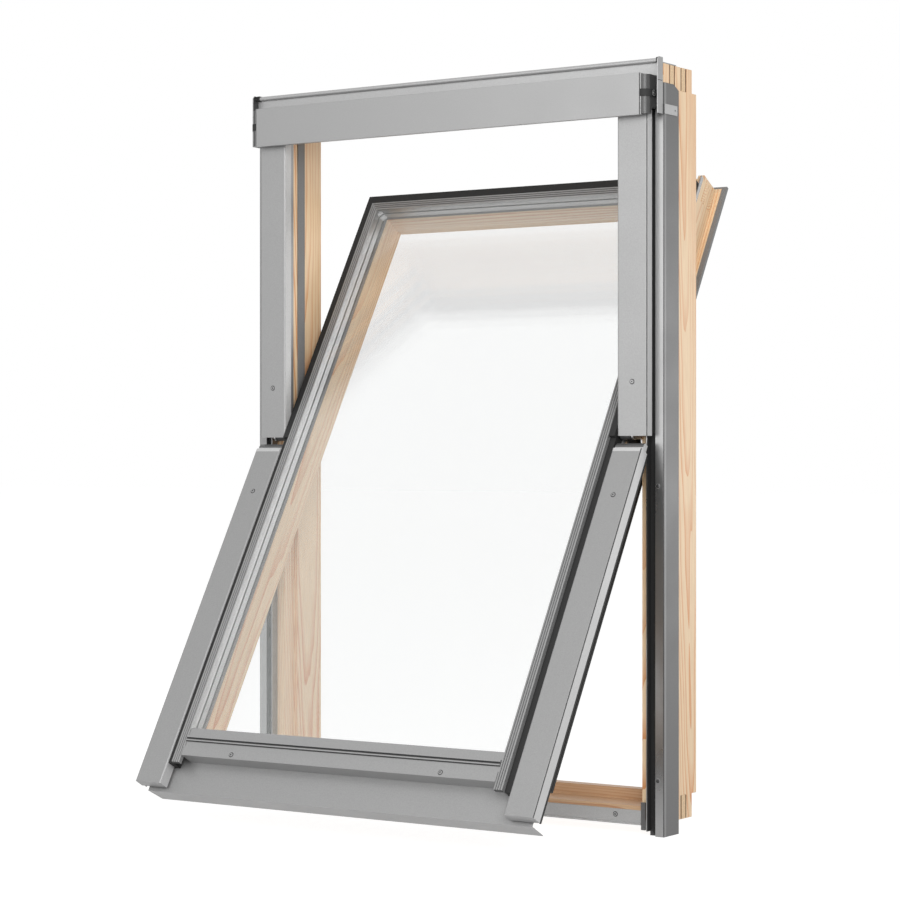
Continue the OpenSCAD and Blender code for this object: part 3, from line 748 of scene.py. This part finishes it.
@dataclass
class Cladding:
    """Folded aluminium over the frame: channels, skirts, head, hood and sill strip.

    The small bars have offsets in millimetres from corners of the pieces that they sit on.
    """

    bench: Bench
    edge: float = 0.35 * MM
    fold_share: float = 0.2
    trough_y: float = -40 * MM
    strap_low: float = 1.0915
    strap_high: float = 1.1045
    plate_margin: float = 2 * MM
    plug_edge: float = 1.2 * MM
    end_edge: float = 0.5 * MM
    bar_edge: float = 0.25 * MM
    lip_plug: Span = ((-8.5, 8.2, -8.4), (-1.5, 17.0, 0.2))
    tab_bend_shade: Span = ((-0.4, -2.2, -0.5), (0.0, 0.0, -0.4))
    plate_joint: Span = ((-0.6, -0.1, 1117.3), (0.12, 14.0, 1118.5))
    hood_gap: Span = ((-0.2, -0.15, 0.0), (0.8, 2.6, -0.4))
    hood_end: Span = ((0.8, 0.5, 0.0), (2.2, 3.0, -0.4))

    def dress(self) -> None:
        """Dress the cladding, with a painted dark reflection on the channels' outer folds and painted
        shade on their trough floors and inside the end plates, and add its small trim.
        """
        look, skin = self.bench.finishes, self.bench.skin
        # The dark mark on the channels' outer folds is a painted dark reflection.
        fold = Mark(look.seam, outer_fold(self.fold_share, FRONT))
        for side in SIDES:
            skin(side + "_channel", look.channel_metal,
                 marks=[fold, Mark(look.shaded_return_metal, self.on_return),
                        # The trough floors are painted shade.
                        Mark(look.seam, self.in_trough)])
            skin(side + "_skirt", look.skirt_metal, self.edge)
            skin(side + "_corner_tab", look.tab_metal, self.edge)
            skin(side + "_hood_cap", look.plastic, marks=[Mark(look.black, self.on_strap)])
        skin("head_cladding", look.tab_metal,
             marks=[Mark(look.cover_metal, self.on_end_plate),
                    # The inner faces of the end plates are painted shade.
                    Mark(look.seam, self.inside_end_plate)])
        skin("hood_front", look.cover_metal, self.edge)
        skin("sill_cladding", look.tab_metal, self.edge)
        skin("channel_feet", look.skirt_metal, self.edge)
        skin("lip_trims", look.cover_metal, self.edge)
        self.trim()

    @staticmethod
    def on_return(face: Face) -> bool:
        """Tell whether a face is the part of a channel that wraps round onto the side."""
        return outlook_of(face) > SQUARELY and reach_of(face) > frame_side()

    def in_trough(self, face: Face) -> bool:
        """Tell whether a face is the floor of a channel's trough."""
        return face.normal.y < -SQUARELY and face.calc_center_median().y > self.trough_y

    @staticmethod
    def on_end_plate(face: Face) -> bool:
        """Tell whether a face is the outer face of an end plate of the head cladding."""
        return outlook_of(face) > SQUARELY

    def inside_end_plate(self, face: Face) -> bool:
        """Tell whether a face is the shaded inner face of an end plate."""
        return outlook_of(face) < -SQUARELY and reach_of(face) > frame_side() - self.plate_margin

    def on_strap(self, face: Face) -> bool:
        """Tell whether a face belongs to the strap round a hood cap."""
        return self.strap_low < face.calc_center_median().z < self.strap_high

    def trim(self) -> None:
        """Add the lip's plugs, painted shade in the tabs' bends, the end plates' joints and the hood's
        ends with painted shade in their gaps.
        """
        look, dark, light = self.bench.finishes, "dark_plastic", "light_grey_metal"
        head, tab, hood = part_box("head_cladding"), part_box("right_corner_tab"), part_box("hood_front")
        lip, tab_top, hood_top = ((high[0], low[1], high[2]) for low, high in (head, tab, hood))
        base, foot = (*lip[:2], 0.0), (*hood_top[:2], hood[0][2])
        bar = self.bar_edge
        for name, starts, offsets, finish, slot, edge in (
                ("lip_plugs", (lip, lip), self.lip_plug, look.black, dark, self.plug_edge),
                # A dark block in each tab's bend: painted shade where the tab wraps round the corner.
                ("tab_bend_shades", (tab[0], tab_top), self.tab_bend_shade, look.plastic, dark, bar),
                ("end_plate_joints", (base, base), self.plate_joint, look.seam, light, bar),
                # A dark bar in each gap at the hood's ends: painted shade in the gap.
                ("hood_end_gaps", (foot, hood_top), self.hood_gap, look.seam, dark, bar),
                ("hood_end_trims", (foot, hood_top), self.hood_end, look.bead_metal, light,
                 self.end_edge)):
            low, high = (Vector(start) + Vector(offset) * MM
                         for start, offset in zip(starts, offsets))
            mirrored = ((-high.x, low.y, low.z), (-low.x, high.y, high.z))
            self.bench.bars(name, (mirrored, (low, high)), finish, Body.FRAME, slot, edge)


@dataclass
class CoverSet:
    """The folded covers above the pivots and on the sash below them."""

    bench: Bench
    edge: float = 0.35 * MM
    fold_share: float = 0.45
    slope_share: float = 0.2
    end_step: float = 25.5 * MM
    band_foot: float = -34.5 * MM

    def dress(self) -> None:
        """Dress the covers with painted light on their flanges and a painted dark reflection along their
        outer folds.
        """
        look, sash, skin = self.bench.finishes, self.bench.sash, self.bench.skin
        # The flanges and the pressed bands take the lighter lacquer, which on the flanges is painted
        # light.
        flange, band = (Mark(look.lit_flange_metal, test) for test in (self.on_flange, self.on_band))
        # The dark mark along the covers' outer folds is a painted dark reflection.
        upper, lower = (Mark(look.seam, outer_fold(self.fold_share, front))
                        for front in (FRONT, -sash.inward))
        for side in SIDES:
            skin(side + "_upper_cover", look.cover_metal, marks=[upper, flange])
            skin(side + "_lower_cover", look.cover_metal, marks=[lower, flange, band],
                 cuts=[(sash.point(0.0, 0.0, self.band_foot), sash.upward)])
            skin(side + "_cover_end", look.lit_flange_metal, self.edge,
                 [Mark(look.skirt_metal, self.end_slope)])
        for node in ("upper_cover_clips", "lower_cover_clips"):
            skin(node, look.plastic)
        self.bench.paint(look.black, "cover_lips")

    @staticmethod
    def on_flange(face: Face) -> bool:
        """Tell whether a face is a flange of a cover."""
        return abs(face.normal.x) > SQUARELY

    def on_band(self, face: Face) -> bool:
        """Tell whether a face lies in the pressed band at the top of a lower cover."""
        sash = self.bench.sash
        return sash.height(face) > self.band_foot and sash.outlook(face) > SQUARELY

    def end_slope(self, face: Face) -> bool:
        """Tell whether a face is the upper slope of a cover's end piece."""
        slope = self.bench.sash.outlook(face) > self.slope_share and abs(face.normal.x) < ROUGHLY
        return slope and self.bench.sash.height(face) > -self.end_step


@dataclass
class SashTimber:
    """The pine sash with its comb joints, metal edge strips and rubber flange seal."""

    bench: Bench
    edge: float = 0.7 * MM
    strip_edge: float = 0.3 * MM

    def dress(self) -> None:
        """Give the four timbers their grain and the seal black below the pivot and grey above it."""
        look, sash, skin = self.bench.finishes, self.bench.sash, self.bench.skin
        up, across, lean = Grain.UPRIGHT, Grain.ACROSS, sash.lean
        for node, timber in (
                ("left_stile", Timber("pine_left_stile", up, (-0.34, -0.029, 0.57), lean)),
                ("right_stile", Timber("pine_right_stile", up, (0.262, -0.029, 0.57), lean, 0.034)),
                ("sash_top_rail", Timber("pine_sash_top", across, (-0.1, 0.2, 1.0), lean)),
                ("sash_bottom_rail",
                 Timber("pine_sash_bottom", across, (0.15, -0.22, 0.03), lean))):
            skin(node, timber.build(), self.edge)
        for side in SIDES:
            skin(side + "_edge_strip", look.bead_metal, self.strip_edge)
        skin("sash_seal", look.black, marks=[Mark(look.grey, self.above_pivot)],
             cuts=[(sash.pivot, sash.upward)])

    def above_pivot(self, face: Face) -> bool:
        """Tell whether a face lies above the pivot."""
        return self.bench.sash.height(face) > 0


@dataclass
class Glazing:
    """The triple glass unit with its spacers, rubbers and ribbed beads."""

    bench: Bench
    panes: tuple[str, str, str] = ("outer_pane", "middle_pane", "inner_pane")
    bead_depth: float = -5 * MM
    floor_depth: float = -3.7 * MM
    floor_margin: float = 0.2 * MM
    bead_back: float = 3 * MM
    bead_inner: float = 291 * MM
    bead_width: float = 15.6 * MM
    bead_top: float = 444 * MM
    bead_foot: float = -595 * MM
    ribs: int = 4
    ridge: float = 1.2 * MM
    slope: float = 0.8 * MM
    spare: float = 2 * MM
    step_share: float = 0.8

    def dress(self) -> None:
        """Dress the glass, which throws no shadow, its beads and all rubber."""
        look, paint = self.bench.finishes, self.bench.paint
        paint(look.glass, *self.panes)
        paint(look.spacer, "outer_spacer", "inner_spacer")
        paint(look.black, "edge_seal", "glazing_band", "left_channel_seal", "right_channel_seal")
        paint(look.grey, "inner_glazing_seal", "left_jamb_seal", "right_jamb_seal")
        for node in self.panes:
            self.bench.frame["nodes"][node].visible_shadow = False
        self.beads()
        # The undersides of the bottom bead's steps take painted shade.
        self.bench.skin("bottom_bead", look.bead_metal,
                        marks=[Mark(look.groove_shade_metal, self.on_step)])
        self.bench.skin("apron", look.cover_metal)

    def beads(self) -> None:
        """Build the ribbed beads at the sides and the top, mitred where they meet."""
        sash = self.bench.sash
        across = Vector((1, 0, 0))
        outer = self.bead_width + self.spare
        corners = {side: sash.point(side * self.bead_inner, 0.0, self.bead_top) for side in Side}
        for side, node in ((Side.LEFT, "left_bead"), (Side.RIGHT, "right_bead")):
            self.ribbed(node, lambda w, d, t, s=side: sash.point(s * (self.bead_inner + w), d, t),
                        (self.bead_foot, self.bead_top + outer),
                        [(corners[side], sash.upward - across * side)])
        reach = self.bead_inner + outer
        self.ribbed("top_bead", lambda w, d, t: sash.point(t, d, self.bead_top + w),
                    (-reach, reach),
                    [(corners[side], across * side - sash.upward) for side in Side])

    def ribbed(self, node: str, place: Callable[[float, float, float], Vector],
               ends: tuple[float, float], mitres: Sequence[Plane]) -> None:
        """Build one ribbed bead in the place of its node.

        Args:
            node: Name of the CAD node.
            place: Turns a width, a depth and a length into a place.
            ends: Where the bead starts and stops along its length.
            mitres: Planes that cut its ends off.
        """
        look = self.bench.finishes
        profile = [(0.0, self.bead_back)]
        for rib in range(self.ribs):
            start = rib * self.bead_width / self.ribs
            profile += [(start, self.floor_depth),
                        (start + self.slope, self.bead_depth),
                        (start + self.slope + self.ridge, self.bead_depth),
                        (start + 2 * self.slope + self.ridge, self.floor_depth)]
        profile += [(self.bead_width, self.floor_depth), (self.bead_width, self.bead_back)]
        bm = bmesh.new()
        first, last = ([bm.verts.new(place(width, depth, end)) for width, depth in profile]
                       for end in ends)
        for here in range(len(profile)):
            after = (here + 1) % len(profile)
            bm.faces.new((first[here], first[after], last[after], last[here]))
        for ring in (first, last):
            bm.faces.new(ring)
        for mitre in mitres:
            bmesh.ops.holes_fill(bm, edges=split(bm, mitre, drop=True))
        bmesh.ops.dissolve_degenerate(bm, dist=WELD, edges=bm.edges)
        bmesh.ops.recalc_face_normals(bm, faces=bm.faces)
        # The groove floors take painted shade.
        self.bench.coat(node, bm, look.bead_metal, [Mark(look.groove_shade_metal, self.in_groove)])

    def in_groove(self, face: Face) -> bool:
        """Tell whether a face is the floor of a groove between the ribs of a bead."""
        return abs(self.bench.sash.depth(face) - self.floor_depth) < self.floor_margin

    def on_step(self, face: Face) -> bool:
        """Tell whether a face is the underside of a step of the bottom bead."""
        sash = self.bench.sash
        return face.normal.dot(sash.upward) < -self.step_share and sash.depth(face) < 0


@dataclass
class Ironwork:
    """The pivots, the turning handle and its catch plate."""

    bench: Bench
    hinge_edge: float = 0.5 * MM
    plate_edge: float = 0.25 * MM
    rose_edge: float = 0.8 * MM
    lever_edge: float = 1.2 * MM

    def dress(self) -> None:
        """Dress the hinges, the handle and the catch plate."""
        look, skin = self.bench.finishes, self.bench.skin
        for side in SIDES:
            skin(side + "_frame_hinge", look.steel, self.hinge_edge)
            skin(side + "_sash_hinge", look.plastic, self.hinge_edge)
        skin("catch_plate", look.steel, self.plate_edge)
        skin("handle_rose", look.handle, self.rose_edge)
        skin("handle_lever", look.handle, self.lever_edge)


@dataclass(frozen=True)
class Layer:
    """One turned layer of a fixing, counted outwards from its seat."""

    name: str
    finish: Material
    foot: float
    top: float
    height: float
    lift: float = -0.05 * MM
    sides: int = 28


class FixingTree(NodeKit):
    """A node tree that sets turned layers on points, each along the point's own axis."""

    KINDS = {"foot": "Float", "top": "Float", "height": "Float", "lift": "Float", "sides": "Int",
             "finish": "Material"}

    def __init__(self, name: str, *layers: Layer) -> None:
        """Build the tree.

        Args:
            name: The tree's name.
            layers: The layers of one fixing.
        """
        super().__init__(bpy.data.node_groups.new(name, "GeometryNodeTree"))
        self.values: dict[str, object] = {}
        face = self.tree.interface
        face.new_socket("Points", in_out="INPUT", socket_type="NodeSocketGeometry")
        face.new_socket("Fixings", in_out="OUTPUT", socket_type="NodeSocketGeometry")
        for layer in layers:
            for what, kind in self.KINDS.items():
                kind, label = "NodeSocket" + kind, f"{layer.name} {what}"
                socket = face.new_socket(label, in_out="INPUT", socket_type=kind)
                self.values[socket.identifier] = getattr(layer, what)
        self.given = self.node("NodeGroupInput", {}).outputs
        join = self.node("GeometryNodeJoinGeometry", {})
        for layer in layers:
            self.fill(join, {"Geometry": self.chain(layer.name)})
        self.node("NodeGroupOutput", {"Fixings": join.outputs["Geometry"]})

    def chain(self, name: str) -> Socket:
        """Add the nodes of one layer.

        Args:
            name: The layer's name.

        Returns:
            The socket of the realized and finished layer.
        """
        foot, top, height, lift, sides, finish = (
            self.given[f"{name} {what}"] for what in self.KINDS)
        cone = self.node("GeometryNodeMeshCone", {
            "Vertices": sides, "Radius Bottom": foot, "Radius Top": top, "Depth": height})
        above = self.node("ShaderNodeCombineXYZ", {"Z": lift})
        raised = self.node("GeometryNodeTransform", {
            "Geometry": cone.outputs["Mesh"], "Translation": above.outputs["Vector"]})
        way = self.node("GeometryNodeInputNamedAttribute", {"Name": "axis"},
                        data_type="FLOAT_VECTOR")
        turn = self.node("FunctionNodeAlignRotationToVector", {
            "Vector": way.outputs["Attribute"]}, axis="Z")
        spread = self.node("GeometryNodeInstanceOnPoints", {
            "Points": self.given["Points"], "Instance": raised.outputs["Geometry"],
            "Rotation": turn.outputs["Rotation"]})
        real = self.node("GeometryNodeRealizeInstances", {"Geometry": spread.outputs["Instances"]})
        dressed = self.node("GeometryNodeSetMaterial", {
            "Geometry": real.outputs["Geometry"], "Material": finish})
        return dressed.outputs["Geometry"]

    def run(self, name: str, fixings: Sequence[Plane]) -> bpy.types.Mesh:
        """Set fixings and return them as one plain mesh.

        Args:
            name: The mesh's name.
            fixings: Seats and the ways that they face.

        Returns:
            The mesh.
        """
        points = bpy.data.meshes.new(name + "_points")
        points.from_pydata([tuple(seat) for seat, _ in fixings], [], [])
        axis = points.attributes.new("axis", "FLOAT_VECTOR", "POINT")
        for item, (_, way) in zip(axis.data, fixings):
            item.vector = way
        holder = stand(name + "_points", points)
        modifier = holder.modifiers.new("fixings", "NODES")
        modifier.node_group = self.tree
        for identifier, value in self.values.items():
            modifier[identifier] = value
        graph = bpy.context.evaluated_depsgraph_get()
        mesh = bpy.data.meshes.new_from_object(holder.evaluated_get(graph))
        mesh.name = name
        holder.modifiers.remove(modifier)
        bpy.data.objects.remove(holder)
        bpy.data.meshes.remove(points)
        return mesh


@dataclass
class Fixings:
    """Screws, rivets and strap studs on the frame and the sash.

    Places on the frame are in the room. Those on the sash are a width, a depth and a height.
    """

    bench: Bench
    head: float = 3.2 * MM
    ring: float = 4.1 * MM
    rise: float = 1.2 * MM
    socket: float = 1.3 * MM
    rivet: float = 4.0 * MM
    stud: float = 4.6 * MM
    hexagon: int = 6
    upper_cover_screw_z: float = 0.6655
    sill_screw: Triple = (0.2981, -0.0375, 0.0068)
    lower_cover_screw: Triple = (0.3423, 0.0, -0.110)
    bead_screw: Triple = (0.194, -0.005, -0.576)
    stud_y: float = -0.0618
    stud_z: float = 1.0985
    rivet_x: float = 0.3766
    rivet_y: float = -0.045
    rivet_heights: tuple[float, float] = (0.5077, 0.0632)

    def dress(self) -> None:
        """Set the fixings of both bodies."""
        screws, rivets, studs = self.screw_tree(), self.rivet_tree(), self.stud_tree()
        front = -self.bench.sash.inward
        low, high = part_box("right_upper_cover")
        cover_screw = ((low[0] + high[0]) / 2, low[1], self.upper_cover_screw_z)
        stud = (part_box("right_hood_cap")[1][0], self.stud_y, self.stud_z)
        on_frame, on_sash, on_channel, on_strap = [], [], [], []
        for side in Side:
            on_frame += [(self.at(side, place), FRONT) for place in (cover_screw, self.sill_screw)]
            on_sash += [(self.bench.sash.point(side * x, depth, height), front)
                        for x, depth, height in (self.lower_cover_screw, self.bead_screw)]
            on_channel += [(self.at(side, (self.rivet_x, self.rivet_y, height)), FRONT)
                           for height in self.rivet_heights]
            on_strap.append((self.at(side, stud), Vector((side, 0, 0))))
        for name, tree, fixings, body, node in (
                ("frame_screw_heads", screws, on_frame, Body.FRAME, "frame_screws"),
                ("sash_screw_heads", screws, on_sash, Body.SASH, "sash_screws"),
                ("channel_rivets", rivets, on_channel, Body.FRAME, None),
                ("strap_stud_heads", studs, on_strap, Body.FRAME, None)):
            piece = stand(name, tree.run(name, fixings))
            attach(piece, body.value)
            if node:
                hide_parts(node)
            LOG.info("set %d fixings as %s", len(fixings), name)

    @staticmethod
    def at(side: Side, place: Triple) -> Vector:
        """Return a place of the right side, or its mirror image for the left side."""
        return Vector((side * place[0], place[1], place[2]))

    def screw_tree(self) -> FixingTree:
        """Return a round screw head on a dark ring of painted shadow, with a black disc of painted shade
        for its socket.
        """
        look = self.bench.finishes
        return FixingTree(
            "screw_heads",
            # The dark ring is painted shadow round the head, and the black socket disc is painted shade
            # in the recess.
            Layer("ring", look.seam, foot=self.ring, top=self.ring, height=0.3 * MM),
            Layer("head", look.bead_metal, foot=self.head, top=self.head * 0.82, height=self.rise,
                  lift=0.0),
            Layer("socket", look.black, foot=self.socket, top=self.socket, height=0.08 * MM,
                  lift=self.rise - 0.02 * MM, sides=self.hexagon))

    def rivet_tree(self) -> FixingTree:
        """Return a rivet with a dark dome of painted dark reflection in a light rim of painted
        highlight.
        """
        look = self.bench.finishes
        return FixingTree(
            "rivet_heads",
            # The light rim is a painted highlight, and the dark dome is a painted dark reflection.
            Layer("ring", look.bead_metal, foot=self.rivet, top=self.rivet * 0.93, height=0.5 * MM),
            Layer("dome", look.seam, foot=self.rivet * 0.82, top=self.rivet * 0.4, height=0.8 * MM,
                  lift=0.4 * MM))

    def stud_tree(self) -> FixingTree:
        """Return a socket screw in the well of a round stud, with the dark well and the black socket as
        painted shade.
        """
        look = self.bench.finishes
        return FixingTree(
            "strap_studs",
            Layer("rim", look.cover_metal, foot=self.stud, top=self.stud, height=0.4 * MM),
            # The dark well and the black socket are painted shade in the recesses.
            Layer("well", look.plastic, foot=self.stud * 0.82, top=self.stud * 0.82,
                  height=0.1 * MM, lift=0.33 * MM),
            Layer("head", look.skirt_metal, foot=self.stud * 0.55, top=self.stud * 0.45,
                  height=0.9 * MM, lift=0.3 * MM),
            Layer("socket", look.black, foot=self.stud * 0.28, top=self.stud * 0.28,
                  height=0.1 * MM, lift=1.15 * MM, sides=self.hexagon))


@dataclass(frozen=True)
class Lamp:
    """A square soft lamp that looks at the middle of the window."""

    name: str
    place: Triple
    size: float
    power: float
    aim: Triple = (0.0, 0.0, 0.6)

    def build(self) -> None:
        """Put the lamp into the scene."""
        data = bpy.data.lights.new(self.name, "AREA")
        data.shape = "SQUARE"
        data.size = self.size
        data.energy = self.power
        lamp = stand(self.name, data)
        lamp.location = self.place
        way = Vector(self.aim) - Vector(self.place)
        lamp.rotation_euler = way.to_track_quat("-Z", "Y").to_euler()


@dataclass
class Studio:
    """White surroundings, soft lamps and the camera of the photograph."""

    lens_mm: float = 102.92
    sensor_mm: float = 36.0
    shift_y: float = 0.00494
    turn_deg: float = 34.17
    eye: Triple = (2.2954, -3.4293, 0.5556)
    far: float = 200.0
    ambient: float = 0.35
    floor_z: float = -0.0215
    floor_half: float = 30.0
    floor_grey: float = 0.3
    floor_roughness: float = 0.9
    floor_seen: float = 0.9
    floor_share: float = 0.8
    lamps: tuple[Lamp, ...] = (
        Lamp("front", (-1.2, -5.0, 1.6), 3.2, 66.0),
        Lamp("right", (3.0, 4.2, 0.4), 1.9, 32.0),
        Lamp("key", (2.1, -2.5, 1.8), 2.2, 86.0),
    )

    def build(self) -> None:
        """Place the camera, the world, the floor and the lamps."""
        self.camera()
        self.world()
        self.floor()
        for lamp in self.lamps:
            lamp.build()

    def camera(self) -> None:
        """Create the camera and make it the scene's own."""
        data = bpy.data.cameras.new("photo_camera")
        data.sensor_width = self.sensor_mm
        data.lens = self.lens_mm
        data.shift_y = self.shift_y
        data.clip_end = self.far
        camera = stand("photo_camera", data)
        camera.location = self.eye
        camera.rotation_euler = Euler((math.radians(90), 0, math.radians(self.turn_deg)))
        bpy.context.scene.camera = camera

    def world(self) -> None:
        """Make the world white where it is seen and a plain soft light for the rest."""
        world = bpy.data.worlds.new("studio")
        world.use_nodes = True
        bpy.context.scene.world = world
        kit = NodeKit(world.node_tree)
        limits = {"Value": kit.seen(), "To Min": self.ambient, "To Max": 1.0}
        strength = kit.node("ShaderNodeMapRange", limits).outputs["Result"]
        background = kit.tree.nodes["Background"]
        kit.fill(background, {"Color": (1, 1, 1, 1), "Strength": strength})

    def floor(self) -> None:
        """Lay a white floor that keeps a faint shadow."""
        half, z = self.floor_half, self.floor_z
        mesh = bpy.data.meshes.new("floor")
        corners = [(-half, -half, z), (half, -half, z), (half, half, z), (-half, half, z)]
        mesh.from_pydata(corners, [], [(0, 1, 2, 3)])
        floor = stand("floor", mesh)
        shader = Shader("white_floor")
        level = self.floor_grey
        glow = shader.node("ShaderNodeMapRange", {
            "Value": shader.seen(), "To Min": self.ambient * self.floor_share,
            "To Max": self.floor_seen})
        shader.surface(Base_Color=(level, level, level, 1), Roughness=self.floor_roughness,
                       Specular_IOR_Level=0.0, Emission_Color=(1, 1, 1, 1),
                       Emission_Strength=glow.outputs["Result"])
        mesh.materials.append(shader.material)


def main() -> None:
    """Build and dress the window."""
    logging.basicConfig(level=logging.INFO, format="%(name)s: %(message)s")
    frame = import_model()
    joints = frame["record"]["behaviour"]["joints"]
    pivot = next(joint for joint in joints if joint["name"] == "sash_pivot")
    sash = SashPlane(Vector(pivot["pos_m"]), math.radians(-pivot["range_deg"][0]))
    bench = Bench(frame, Finishes(), sash)
    for kind in (TimberFrame, Cladding, CoverSet, SashTimber, Glazing, Ironwork, Fixings):
        kind(bench).dress()
    Studio().build()
    bpy.context.scene.view_settings.view_transform = "Standard"


if __name__ == "__main__":
    main()
